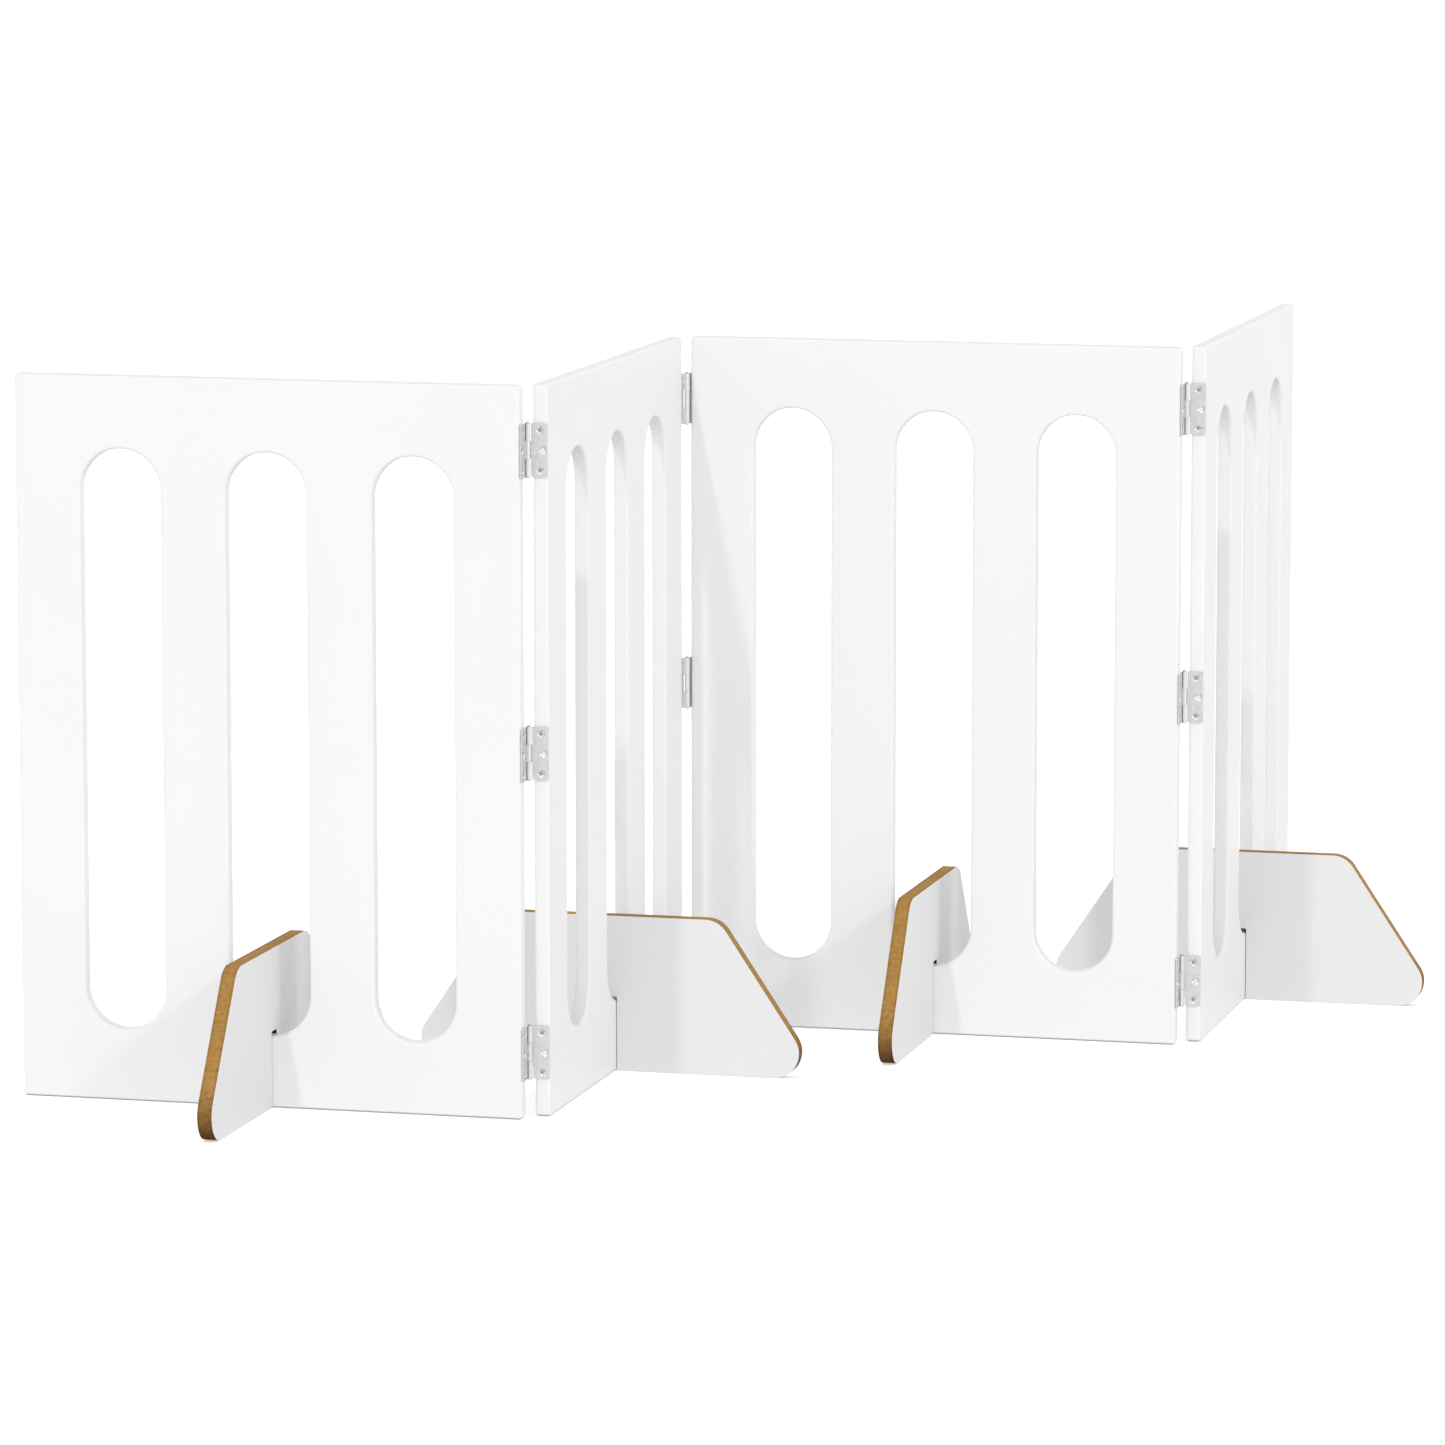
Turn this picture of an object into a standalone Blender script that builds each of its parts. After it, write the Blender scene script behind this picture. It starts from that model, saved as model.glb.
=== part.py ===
"""Free-standing folding pet gate: four slotted boards, nine butt hinges, four lift-off feet.

Metres, +Z up. The origin is on the floor under the middle of the gate. Boards 1 and 3 run
along X, boards 2 and 4 along Y, so that every fold stands at a right angle.
"""

import math

import bpy
import numpy as np
from mathutils import Matrix, Vector
from mathutils.geometry import tessellate_polygon

# --- boards -------------------------------------------------------------------------------
BOARD_WIDTH = 0.500
BOARD_HEIGHT = 0.700
BOARD_THICKNESS = 0.015
BOARD_CORNER = 0.004
EDGE_ROUND = 0.003
EDGE_STEPS = 2
WINDOW_WIDTH = 0.080
WINDOW_BOTTOM = 0.070
WINDOW_TOP = 0.630
WINDOW_PITCH = 0.145
WINDOW_STEPS = 14

# --- hinges -------------------------------------------------------------------------------
HINGE_LENGTH = 0.051
HINGE_HEIGHTS = {"top": 0.6375, "mid": 0.3495, "low": 0.0625}
AXIS_TO_END = 0.0028
AXIS_TO_FACE = 0.0040
FIT_GAP = 0.0003
LEAF_THICKNESS = 0.0011
LEAF_REACH = 0.0188
KNUCKLE_RADIUS = 0.0025
BORE_RADIUS = 0.0014
PIN_RADIUS = 0.0011
PIN_HEAD_RADIUS = 0.0023
PIN_HEAD_TOP = 0.0011
PIN_HEAD_BASE = 0.0006
SCREW_ACROSS = AXIS_TO_FACE + BOARD_THICKNESS / 2
SCREW_RISE = 0.019
SPARE_HOLE_ACROSS = AXIS_TO_FACE + 0.0101
SINK_RADIUS = 0.0037
LEAF_HOLE_RADIUS = 0.0024
SCREW_HEAD_RADIUS = 0.0033
SCREW_HEAD_DEPTH = 0.0014
SCREW_SHANK_RADIUS = 0.0015
SCREW_LENGTH = 0.0150
PILOT_RADIUS = SCREW_SHANK_RADIUS + FIT_GAP
PILOT_DEPTH = 0.0155

# --- feet ---------------------------------------------------------------------------------
FOOT_THICKNESS = 0.015
FOOT_HEIGHT = 0.154
FOOT_HALF_TOP = 0.111
FOOT_HALF_BASE = 0.214
FOOT_CORNER = 0.025
FOOT_CORNER_STEPS = 6
SLOT_WIDTH = 0.016
SLOT_HEIGHT = 0.074
# Where each foot's middle plane stands along its board, from the board's first end.
FOOT_PLACES = (0.2445, 0.2484, 0.2451, 0.2564)

ROUND_STEPS = 16
BORE_STEPS = 12
SINK_STEPS = 12

PAINT = ((0.83, 0.83, 0.82), 0.42, 0.0)
FOOT_BOARD = ((0.80, 0.79, 0.78), 0.45, 0.0)
ZINC = ((0.62, 0.62, 0.60), 0.34, 1.0)
PIN_STEEL = ((0.55, 0.55, 0.54), 0.30, 1.0)
SCREW_STEEL = ((0.66, 0.66, 0.67), 0.26, 1.0)


def clear_scene():
    """Takes the startup objects out."""
    for obj in list(bpy.data.objects):
        bpy.data.objects.remove(obj, do_unlink=True)


def new_collection(name):
    """Makes a collection in the scene."""
    made = bpy.data.collections.new(name)
    bpy.context.scene.collection.children.link(made)
    return made


def finish_of(name, look):
    """Makes a Principled material from (colour, roughness, metallic)."""
    colour, roughness, metallic = look
    material = bpy.data.materials.new(name)
    material.use_nodes = True
    shader = material.node_tree.nodes["Principled BSDF"]
    shader.inputs["Base Color"].default_value = (*colour, 1.0)
    shader.inputs["Roughness"].default_value = roughness
    shader.inputs["Metallic"].default_value = metallic
    material.diffuse_color = (*colour, 1.0)
    return material


def mesh_from(name, points, faces):
    """Makes a mesh from points and faces."""
    mesh = bpy.data.meshes.new(name)
    mesh.from_pydata([tuple(p) for p in points], [], [tuple(f) for f in faces])
    mesh.validate()
    mesh.update()
    return mesh


def arc(centre, radius, start, end, steps):
    """Points of an arc, both ends included; angles in degrees."""
    turn = np.radians(np.linspace(start, end, steps + 1))
    across = centre[0] + radius * np.cos(turn)
    up = centre[1] + radius * np.sin(turn)
    return np.stack([across, up], axis=1)


def rectangle_ring(inset):
    """The board's outline, anticlockwise, pulled in by inset."""
    half = BOARD_WIDTH / 2 - inset
    low = inset
    high = BOARD_HEIGHT - inset
    radius = BOARD_CORNER - inset
    corners = (
        (half - radius, low + radius, -90),
        (half - radius, high - radius, 0),
        (-half + radius, high - radius, 90),
        (-half + radius, low + radius, 180),
    )
    return np.concatenate([arc((x, z), radius, a, a + 90, 3) for x, z, a in corners])


def window_ring(middle, inset):
    """One window's outline, anticlockwise, opened out by inset."""
    radius = WINDOW_WIDTH / 2
    upper = arc((middle, WINDOW_TOP - radius), radius + inset, 0, 180, WINDOW_STEPS)
    lower = arc((middle, WINDOW_BOTTOM + radius), radius + inset, 180, 360, WINDOW_STEPS)
    return np.concatenate([upper, lower])


def round_over():
    """(y, inset) down the board's edge from its front face to its back face."""
    turn = np.linspace(0, math.pi / 2, EDGE_STEPS + 1)
    depth = BOARD_THICKNESS / 2 - EDGE_ROUND + EDGE_ROUND * np.sin(turn)
    inset = EDGE_ROUND * (1 - np.cos(turn))
    front = list(zip(-depth[::-1], inset[::-1]))
    back = list(zip(depth, inset))
    return front + back


def board_mesh():
    """A board standing on z = 0, its middle plane at y = 0, with its windows and round edges."""
    levels = round_over()
    middles = (-WINDOW_PITCH, 0.0, WINDOW_PITCH)
    points = []
    sizes = None
    for y, inset in levels:
        rings = [rectangle_ring(inset)]
        rings += [window_ring(middle, inset) for middle in middles]
        sizes = [len(ring) for ring in rings]
        flat = np.concatenate(rings)
        points.append(np.column_stack([flat[:, 0], np.full(len(flat), y), flat[:, 1]]))
    count = len(points[0])
    faces = []
    starts = np.cumsum([0] + sizes[:-1])
    for level in range(len(levels) - 1):
        for ring, (start, size) in enumerate(zip(starts, sizes)):
            for i in range(size):
                a = level * count + start + i
                b = level * count + start + (i + 1) % size
                quad = (a, b, b + count, a + count)
                faces.append(quad[::-1] if ring == 0 else quad)
    for level, front in ((0, True), (len(levels) - 1, False)):
        loops = []
        for start, size in zip(starts, sizes):
            loops.append([Vector(p) for p in points[level][start : start + size]])
        for tri in tessellate_polygon(loops):
            a, b, c = (points[level][i] for i in tri)
            facing = np.cross(b - a, c - a)[1] < 0
            order = tri if facing == front else tri[::-1]
            faces.append([level * count + i for i in order])
    return mesh_from("board", np.concatenate(points), faces)


def turned(name, outline, steps):
    """A solid of revolution about Z from a closed (radius, height) outline that starts and ends on the axis."""
    outline = np.asarray(outline, float)
    inner = outline[1:-1]
    turn = np.linspace(0, 2 * math.pi, steps, endpoint=False)
    points = [(0.0, 0.0, outline[0][1])]
    for radius, height in inner:
        for a in turn:
            points.append((radius * math.cos(a), radius * math.sin(a), height))
    points.append((0.0, 0.0, outline[-1][1]))
    last = len(points) - 1
    faces = []
    for i in range(steps):
        j = (i + 1) % steps
        faces.append((0, 1 + i, 1 + j))
        for ring in range(len(inner) - 1):
            a = 1 + ring * steps
            b = a + steps
            faces.append((a + i, b + i, b + j, a + j))
        end = 1 + (len(inner) - 1) * steps
        faces.append((end + j, end + i, last))
    return mesh_from(name, points, faces)


def rod(name, radius, low, high, steps):
    """A plain cylinder about Z."""
    return turned(name, ((0, high), (radius, high), (radius, low), (0, low)), steps)


def outline_slab(name, outline, low, high):
    """A slab with the given (x, z) outline, anticlockwise seen from -Y, between y = low and y = high."""
    outline = np.asarray(outline, float)
    size = len(outline)
    near = [(x, low, z) for x, z in outline]
    far = [(x, high, z) for x, z in outline]
    faces = []
    for i in range(size):
        j = (i + 1) % size
        faces.append((i, i + size, j + size, j))
    loops = [[Vector(p) for p in near]]
    for tri in tessellate_polygon(loops):
        a, b, c = (np.array(near[i]) for i in tri)
        order = tri if np.cross(b - a, c - a)[1] < 0 else tri[::-1]
        faces.append(tuple(order))
        faces.append(tuple(i + size for i in order[::-1]))
    return mesh_from(name, near + far, faces)


def carved(mesh, joined, cut, workshop):
    """The mesh with others joined to it and others cut from it."""
    block = bpy.data.objects.new("block", mesh)
    workshop.objects.link(block)
    helpers = []
    jobs = [(tool, "UNION") for tool in joined] + [(tool, "DIFFERENCE") for tool in cut]
    for tool, operation in jobs:
        helper = bpy.data.objects.new("tool", tool)
        helper.hide_render = True
        helper.display_type = "WIRE"
        workshop.objects.link(helper)
        helpers.append(helper)
        modifier = block.modifiers.new(operation.title(), "BOOLEAN")
        modifier.object = helper
        modifier.operation = operation
        modifier.solver = "EXACT"
    bpy.context.view_layer.update()
    graph = bpy.context.evaluated_depsgraph_get()
    made = bpy.data.meshes.new_from_object(block.evaluated_get(graph), depsgraph=graph)
    for helper in [block] + helpers:
        bpy.data.objects.remove(helper, do_unlink=True)
    return made


def moved(mesh, matrix):
    """The mesh, moved in place."""
    mesh.transform(matrix)
    if matrix.determinant() < 0:
        mesh.flip_normals()
    return mesh


def frame_matrix(origin, across, inward):
    """The frame at origin with X across and Y inward."""
    x_axis = Vector(across).normalized()
    y_axis = Vector(inward).normalized()
    z_axis = x_axis.cross(y_axis)
    turn = Matrix((x_axis, y_axis, z_axis)).transposed()
    return Matrix.Translation(Vector(origin)) @ turn.to_4x4()


def along_y(mesh, x, y, z):
    """A mesh built about Z, laid so that its +Z looks along +Y, at a point."""
    lay = Matrix.Rotation(-math.pi / 2, 4, "X")
    return moved(mesh, Matrix.Translation((x, y, z)) @ lay)


def board_with_pilots(ends, workshop):
    """A board with screw pilot holes in the named ends (-1 or +1)."""
    drills = []
    for end in ends:
        for height in HINGE_HEIGHTS.values():
            for rise in (-SCREW_RISE, SCREW_RISE):
                drill = rod("drill", PILOT_RADIUS, -PILOT_DEPTH, PILOT_DEPTH, BORE_STEPS)
                lay = Matrix.Rotation(math.pi / 2, 4, "Y")
                place = Matrix.Translation((end * BOARD_WIDTH / 2, 0, height + rise))
                drills.append(moved(drill, place @ lay))
    return carved(board_mesh(), [], drills, workshop)


def knuckle_spans(outer):
    """The (low, high) spans of a leaf's knuckles: the two outer thirds, or the middle one."""
    half = HINGE_LENGTH / 2
    third = HINGE_LENGTH / 6
    if outer:
        return ((-half, -third - FIT_GAP / 2), (third + FIT_GAP / 2, half))
    return ((-third + FIT_GAP / 2, third - FIT_GAP / 2),)


def leaf_outline(outer):
    """The leaf plate's (x, z) outline: full reach beside its own knuckles, cut back beside the others."""
    half = HINGE_LENGTH / 2
    third = HINGE_LENGTH / 6
    full = 0.0004
    back = KNUCKLE_RADIUS + FIT_GAP
    soft = 0.0012
    right_low = arc((LEAF_REACH - soft, -half + soft), soft, -90, 0, 2)
    right_high = arc((LEAF_REACH - soft, half - soft), soft, 0, 90, 2)
    if outer:
        step = third + FIT_GAP / 2
        left = ((full, half), (full, step), (back, step), (back, -step), (full, -step), (full, -half))
    else:
        step = third - FIT_GAP / 2
        left = ((back, half), (back, step), (full, step), (full, -step), (back, -step), (back, -half))
    return np.concatenate([right_low, right_high, np.array(left)])


def leaf_mesh(outer, workshop):
    """One hinge leaf about its axis: the plate lies off the axis on +Y and reaches along +X."""
    face = AXIS_TO_END - FIT_GAP
    near = face - LEAF_THICKNESS
    plate = outline_slab("plate", leaf_outline(outer), near, face)
    knuckles = []
    bores = []
    for low, high in knuckle_spans(outer):
        knuckles.append(rod("knuckle", KNUCKLE_RADIUS, low, high, ROUND_STEPS))
        bores.append(rod("bore", BORE_RADIUS, low - 0.001, high + 0.001, BORE_STEPS))
    sinks = []
    places = ((SCREW_ACROSS, -SCREW_RISE), (SCREW_ACROSS, SCREW_RISE), (SPARE_HOLE_ACROSS, 0))
    lip = 0.0005
    slope = (SINK_RADIUS - LEAF_HOLE_RADIUS) / (0.8 * LEAF_THICKNESS)
    for x, z in places:
        outline = (
            (0, LEAF_THICKNESS + lip),
            (LEAF_HOLE_RADIUS, LEAF_THICKNESS + lip),
            (LEAF_HOLE_RADIUS, 0.8 * LEAF_THICKNESS),
            (SINK_RADIUS + slope * lip, -lip),
            (0, -lip),
        )
        sinks.append(along_y(turned("sink", outline, SINK_STEPS), x, near, z))
    return carved(plate, knuckles, bores + sinks, workshop)


def pin_mesh():
    """The hinge pin with a low head at each end."""
    top = HINGE_LENGTH / 2 + FIT_GAP
    base = -top
    outline = (
        (0, top + PIN_HEAD_TOP),
        (0.75 * PIN_HEAD_RADIUS, top + 0.75 * PIN_HEAD_TOP),
        (PIN_HEAD_RADIUS, top + 0.3 * PIN_HEAD_TOP),
        (PIN_HEAD_RADIUS, top),
        (PIN_RADIUS, top),
        (PIN_RADIUS, base),
        (PIN_HEAD_RADIUS, base),
        (0.8 * PIN_HEAD_RADIUS, base - PIN_HEAD_BASE),
        (0, base - PIN_HEAD_BASE),
    )
    return turned("pin", outline, BORE_STEPS)


def screw_mesh(workshop):
    """A countersunk cross-recess screw: head at +Z, its rim on z = 0, shank below."""
    crown = 0.0004
    outline = (
        (0, crown),
        (0.7 * SCREW_HEAD_RADIUS, 0.7 * crown),
        (SCREW_HEAD_RADIUS, 0),
        (SCREW_SHANK_RADIUS, -SCREW_HEAD_DEPTH),
        (SCREW_SHANK_RADIUS, -0.85 * SCREW_LENGTH),
        (0.3 * SCREW_SHANK_RADIUS, -SCREW_LENGTH),
        (0, -SCREW_LENGTH),
    )
    body = turned("screw", outline, BORE_STEPS)
    arm = 0.0019
    half = 0.00045
    floor = -0.0010
    cross = []
    for turn in (45, 135):
        slab = outline_slab("arm", ((-arm, floor), (arm, floor), (arm, 0.001), (-arm, 0.001)), -half, half)
        cross.append(moved(slab, Matrix.Rotation(math.radians(turn), 4, "Z")))
    return carved(body, [], cross, workshop)


def foot_outline():
    """The foot's (x, z) outline, anticlockwise, with the slot that straddles the board's bottom rail."""
    slant = math.degrees(math.atan2(FOOT_HEIGHT, FOOT_HALF_BASE - FOOT_HALF_TOP))
    half_low = math.radians(slant / 2)
    half_high = math.radians((180 - slant) / 2)
    low = (FOOT_HALF_BASE - FOOT_CORNER / math.tan(half_low), FOOT_CORNER)
    high = (FOOT_HALF_TOP - FOOT_CORNER / math.tan(half_high), FOOT_HEIGHT - FOOT_CORNER)
    right = np.concatenate(
        [
            arc(low, FOOT_CORNER, -90, 90 - slant, FOOT_CORNER_STEPS + 3),
            arc(high, FOOT_CORNER, 90 - slant, 90, FOOT_CORNER_STEPS),
        ]
    )
    left = right[::-1] * (-1, 1)
    half = SLOT_WIDTH / 2
    slot = np.array([(-half, 0), (-half, SLOT_HEIGHT), (half, SLOT_HEIGHT), (half, 0)])
    return np.concatenate([right, left, slot])


def foot_mesh():
    """A foot standing on z = 0, its middle plane at y = 0."""
    half = FOOT_THICKNESS / 2
    return outline_slab("foot", foot_outline(), -half, half)


def add(name, mesh, material, matrix, home):
    """Puts one piece in the model."""
    obj = bpy.data.objects.new(name, mesh.copy())
    obj.data.name = name
    obj.data.materials.clear()
    obj.data.materials.append(material)
    obj.location = matrix.to_translation()
    obj.rotation_euler = matrix.to_euler()
    home.objects.link(obj)
    return obj


def soften(obj):
    """Shades the round faces smooth and keeps the sharp edges."""
    obj.data.shade_smooth()
    obj.data.set_sharp_from_angle(angle=math.radians(35))


def plan():
    """Where boards and fold axes stand in plan, as {"boards": [(start, direction)], "folds": [...]}."""
    step_end = AXIS_TO_END
    step_face = AXIS_TO_FACE
    half = BOARD_THICKNESS / 2
    along_x = Vector((1, 0, 0))
    along_y_axis = Vector((0, 1, 0))
    point = Vector((0, 0, 0))
    boards = []
    folds = []
    for index in range(4):
        forward = along_x if index % 2 == 0 else along_y_axis
        other = along_y_axis if index % 2 == 0 else along_x
        boards.append((point.copy(), forward.copy()))
        end = point + forward * BOARD_WIDTH
        # The barrel stands on the side that the next board turns to.
        axis = end + forward * step_end + other * (half + step_face)
        folds.append((axis, forward.copy(), other.copy()))
        point = axis + other * step_end + forward * (step_face + half)
    folds.pop()
    reach = foot_reach()
    low = Vector((0, -reach, 0))
    far = boards[3][0] + boards[3][1] * BOARD_WIDTH
    foot_end = boards[3][0].x + reach
    high = Vector((foot_end, far.y, 0))
    middle = (low + high) / 2
    boards = [(start - middle, forward) for start, forward in boards]
    folds = [(axis - middle, forward, other) for axis, forward, other in folds]
    return boards, folds


def foot_reach():
    """How far a foot's end stands from its board's middle plane."""
    return float(np.max(foot_outline()[:, 0]))


def build():
    """Builds the gate."""
    clear_scene()
    home = new_collection("pet_gate")
    workshop = new_collection("workshop")
    end_first = board_with_pilots((1,), workshop)
    middle_board = board_with_pilots((-1, 1), workshop)
    end_last = board_with_pilots((-1,), workshop)
    outer_leaf = leaf_mesh(True, workshop)
    middle_leaf = leaf_mesh(False, workshop)
    pin = pin_mesh()
    screw = screw_mesh(workshop)
    foot = foot_mesh()
    boards, folds = plan()

    for index, (start, forward) in enumerate(boards):
        side = Vector((-forward.y, forward.x, 0))
        frame = frame_matrix(start + forward * BOARD_WIDTH / 2, forward, side)
        mesh = (end_first, middle_board, middle_board, end_last)[index]
        name = f"panel_{index + 1}"
        soften(add(name, mesh, finish_of(name, PAINT), frame, home))
        spot = start + forward * FOOT_PLACES[index]
        name = f"foot_{index + 1}"
        foot_frame = frame_matrix(spot, side, -forward)
        add(name, foot, finish_of(name, FOOT_BOARD), foot_frame, home)

    for index, (axis, forward, other) in enumerate(folds):
        line = f"h{index + 1}{index + 2}"
        screwed = index != 1
        for level, height in HINGE_HEIGHTS.items():
            stem = f"{line}_{level}"
            centre = axis + Vector((0, 0, height))
            leaf_frames = {
                "a": frame_matrix(centre, -other, -forward),
                "b": frame_matrix(centre, forward, other),
            }
            for side, leaf_frame in leaf_frames.items():
                leaf = outer_leaf if side == "a" else middle_leaf
                name = f"{stem}_leaf_{side}"
                soften(add(name, leaf, finish_of(name, ZINC), leaf_frame, home))
                if not screwed:
                    continue
                for number, rise in enumerate((SCREW_RISE, -SCREW_RISE), 1):
                    name = f"{stem}_screw_{side}{number}"
                    turn = leaf_frame.to_3x3()
                    across = turn @ Vector((1, 0, 0))
                    inward = turn @ Vector((0, 1, 0))
                    seat = AXIS_TO_END - FIT_GAP - LEAF_THICKNESS - 0.0001
                    spot = centre + across * SCREW_ACROSS + inward * seat
                    spot += Vector((0, 0, rise))
                    frame = frame_matrix(spot, across, Vector((0, 0, 1)))
                    if (frame.to_3x3() @ Vector((0, 0, 1))).dot(inward) > 0:
                        frame = frame_matrix(spot, -across, Vector((0, 0, 1)))
                    soften(add(name, screw, finish_of(name, SCREW_STEEL), frame, home))
            name = f"{stem}_pin"
            soften(add(name, pin, finish_of(name, PIN_STEEL), Matrix.Translation(centre), home))
    bpy.context.scene.collection.children.unlink(workshop)
    bpy.data.collections.remove(workshop)


build()
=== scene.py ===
"""Visual model of a free-standing folding pet gate.

Four slotted white boards stand in a zig-zag, joined by three rows of small butt hinges, and
each board is held upright by a foot plate that straddles its bottom rail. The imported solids
are the fixed frame: every piece here takes its place from them and rides on one of their
bodies. All lengths are in metres.
"""

import logging
import math
from dataclasses import dataclass, field
from enum import Enum

import bpy
import numpy as np
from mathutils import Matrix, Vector
from mathutils.geometry import tessellate_polygon


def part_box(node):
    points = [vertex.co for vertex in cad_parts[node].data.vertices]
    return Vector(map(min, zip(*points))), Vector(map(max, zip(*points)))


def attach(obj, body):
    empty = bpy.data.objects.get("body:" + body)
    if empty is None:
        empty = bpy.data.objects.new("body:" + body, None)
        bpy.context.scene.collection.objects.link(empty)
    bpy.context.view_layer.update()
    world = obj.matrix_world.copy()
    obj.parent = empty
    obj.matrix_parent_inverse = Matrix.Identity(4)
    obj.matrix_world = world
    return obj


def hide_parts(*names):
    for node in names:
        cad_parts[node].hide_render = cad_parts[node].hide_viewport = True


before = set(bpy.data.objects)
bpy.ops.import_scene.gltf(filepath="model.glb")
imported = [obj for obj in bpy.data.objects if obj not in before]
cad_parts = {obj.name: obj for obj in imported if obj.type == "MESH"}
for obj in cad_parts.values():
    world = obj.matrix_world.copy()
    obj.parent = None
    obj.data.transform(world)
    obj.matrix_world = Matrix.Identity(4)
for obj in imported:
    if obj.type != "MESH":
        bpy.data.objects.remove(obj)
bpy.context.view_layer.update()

LEAST_AREA = 1e-14
CORNER_STEPS = 6
SCREWS = 36
Array = np.ndarray
Pair = tuple[float, float]
Triple = tuple[float, float, float]
Material = bpy.types.Material
Node = bpy.types.Node
Socket = bpy.types.NodeSocket

logging.basicConfig(level=logging.INFO, format="%(levelname)s %(message)s")
log = logging.getLogger("pet_gate")


# --- surfaces as arrays ---


@dataclass
class Surface:
    """A surface as plain arrays: points, then faces in blocks, each block with its finish index."""

    points: Array
    blocks: list[tuple[Array, int]]

    def moved(
        self, across: Array, inward: Array, up: Array, origin: Array
    ) -> "Surface":
        """Puts the surface into a frame: new = origin + x * across + y * inward + z * up.

        Args:
            across: unit vector for the surface's x.
            inward: unit vector for the surface's y.
            up: unit vector for the surface's z.
            origin: where the surface's own origin goes.

        Returns:
            The placed surface, its faces turned round if the frame is left-handed.
        """
        turn = np.stack([across, inward, up])
        points = self.points @ turn + origin
        if np.linalg.det(turn) > 0:
            return Surface(points, self.blocks)
        return Surface(points, [(faces[:, ::-1], slot) for faces, slot in self.blocks])


def join(surfaces: list[Surface]) -> Surface:
    """Joins surfaces into one, keeping each block's finish.

    Args:
        surfaces: the surfaces to join.

    Returns:
        One surface; points that coincide are not merged.
    """
    starts = np.cumsum([0] + [len(s.points) for s in surfaces[:-1]])
    blocks = [
        (faces + start, slot) for s, start in zip(surfaces, starts) for faces, slot in s.blocks
    ]
    return Surface(np.concatenate([s.points for s in surfaces]), blocks)


def welded(surface: Surface, step: float = 1e-7) -> Surface:
    """Merges points that fall in the same cell of a fine grid, and drops faces that close up.

    Args:
        surface: the surface to weld.
        step: side of a grid cell.

    Returns:
        The surface with each place held once.
    """
    cells = np.round(surface.points / step).astype(np.int64)
    _, first, index = np.unique(cells, axis=0, return_index=True, return_inverse=True)
    index = index.reshape(-1)
    blocks = []
    for faces, slot in surface.blocks:
        faces = index[faces]
        ordered = np.sort(faces, axis=1)
        whole = (ordered[:, 1:] != ordered[:, :-1]).all(axis=1)
        blocks.append((faces[whole], slot))
    return Surface(surface.points[first], blocks)


def grid_faces(rows: int, columns: int, closed: bool) -> Array:
    """Four-sided faces of a grid of points stored row by row.

    Face (r, c) takes points (r, c), (r, c + 1), (r + 1, c + 1), (r + 1, c).

    Args:
        rows: number of rows of points.
        columns: number of points in a row.
        closed: whether the last column joins the first.

    Returns:
        An (n, 4) array of point numbers.
    """
    row, column = np.meshgrid(np.arange(rows - 1), np.arange(columns - (not closed)), indexing="ij")
    after = (column + 1) % columns
    here, ahead = row * columns, (row + 1) * columns
    corners = [here + column, here + after, ahead + after, ahead + column]
    return np.stack([corner.ravel() for corner in corners], axis=1)


def flat_faces(loops: list[tuple[Array, int]], facing: float) -> Array:
    """Fills a flat outline with holes.

    Args:
        loops: the outline and then its holes, each (n, 2) as x and z, with the number of its
            first point.
        facing: -1 if the face looks along -y, +1 if it looks along +y.

    Returns:
        An (n, 3) array of point numbers.
    """
    flat = np.concatenate([loop for loop, _ in loops])
    numbers = np.concatenate([start + np.arange(len(loop)) for loop, start in loops])
    solid = [[Vector((x, 0.0, z)) for x, z in loop] for loop, _ in loops]
    faces = np.array(tessellate_polygon(solid))
    a, b, c = (flat[faces[:, i]] for i in range(3))
    area = (b[:, 0] - a[:, 0]) * (c[:, 1] - a[:, 1]) - (b[:, 1] - a[:, 1]) * (c[:, 0] - a[:, 0])
    whole = np.abs(area) > LEAST_AREA
    faces, area = faces[whole], area[whole]
    turn = (area * -facing) < 0
    faces[turn] = faces[turn][:, ::-1]
    return numbers[faces]


def rounded_outline(
    corners: list[Triple], steps: int
) -> tuple[Array, Array]:
    """An anticlockwise outline with rounded corners.

    At a corner of radius r between edges with outward normals n0 and n1, the arc's centre is
    the corner moved by r * (n0 + n1) / (1 + n0 . n1) to the inside of the turn, and the arc's
    points stand r from it along the normal, turned evenly from n0 to n1.

    Args:
        corners: (x, z, radius) of each corner; a radius of 0 keeps the corner as one point.
        steps: faces round each arc.

    Returns:
        The points (n, 2) and their outward normals (n, 2).
    """
    places = np.array([c[:2] for c in corners])
    ahead = np.roll(places, -1, axis=0) - places
    ahead /= np.linalg.norm(ahead, axis=1)[:, None]
    normals = np.stack([ahead[:, 1], -ahead[:, 0]], axis=1)
    points, outward = [], []
    for (x, z, radius), n0, n1 in zip(corners, np.roll(normals, 1, axis=0), normals):
        middle = (n0 + n1) / (1 + n0 @ n1)
        if radius == 0:
            points.append(np.array([[x, z]]))
            outward.append(middle[None])
            continue
        bend = n0[0] * n1[1] - n0[1] * n1[0]
        turn = math.atan2(bend, float(n0 @ n1)) * np.linspace(0, 1, steps + 1)
        cos, sin = np.cos(turn), np.sin(turn)
        swept = np.stack([n0[0] * cos - n0[1] * sin, n0[0] * sin + n0[1] * cos], axis=1)
        reach = np.sign(bend) * radius
        points.append(np.array([x, z]) - reach * middle + reach * swept)
        outward.append(swept)
    return np.concatenate(points), np.concatenate(outward)


def full_turn(steps: int) -> Array:
    """Evenly spaced angles once round."""
    return np.linspace(0, 2 * math.pi, steps, endpoint=False)


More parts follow.
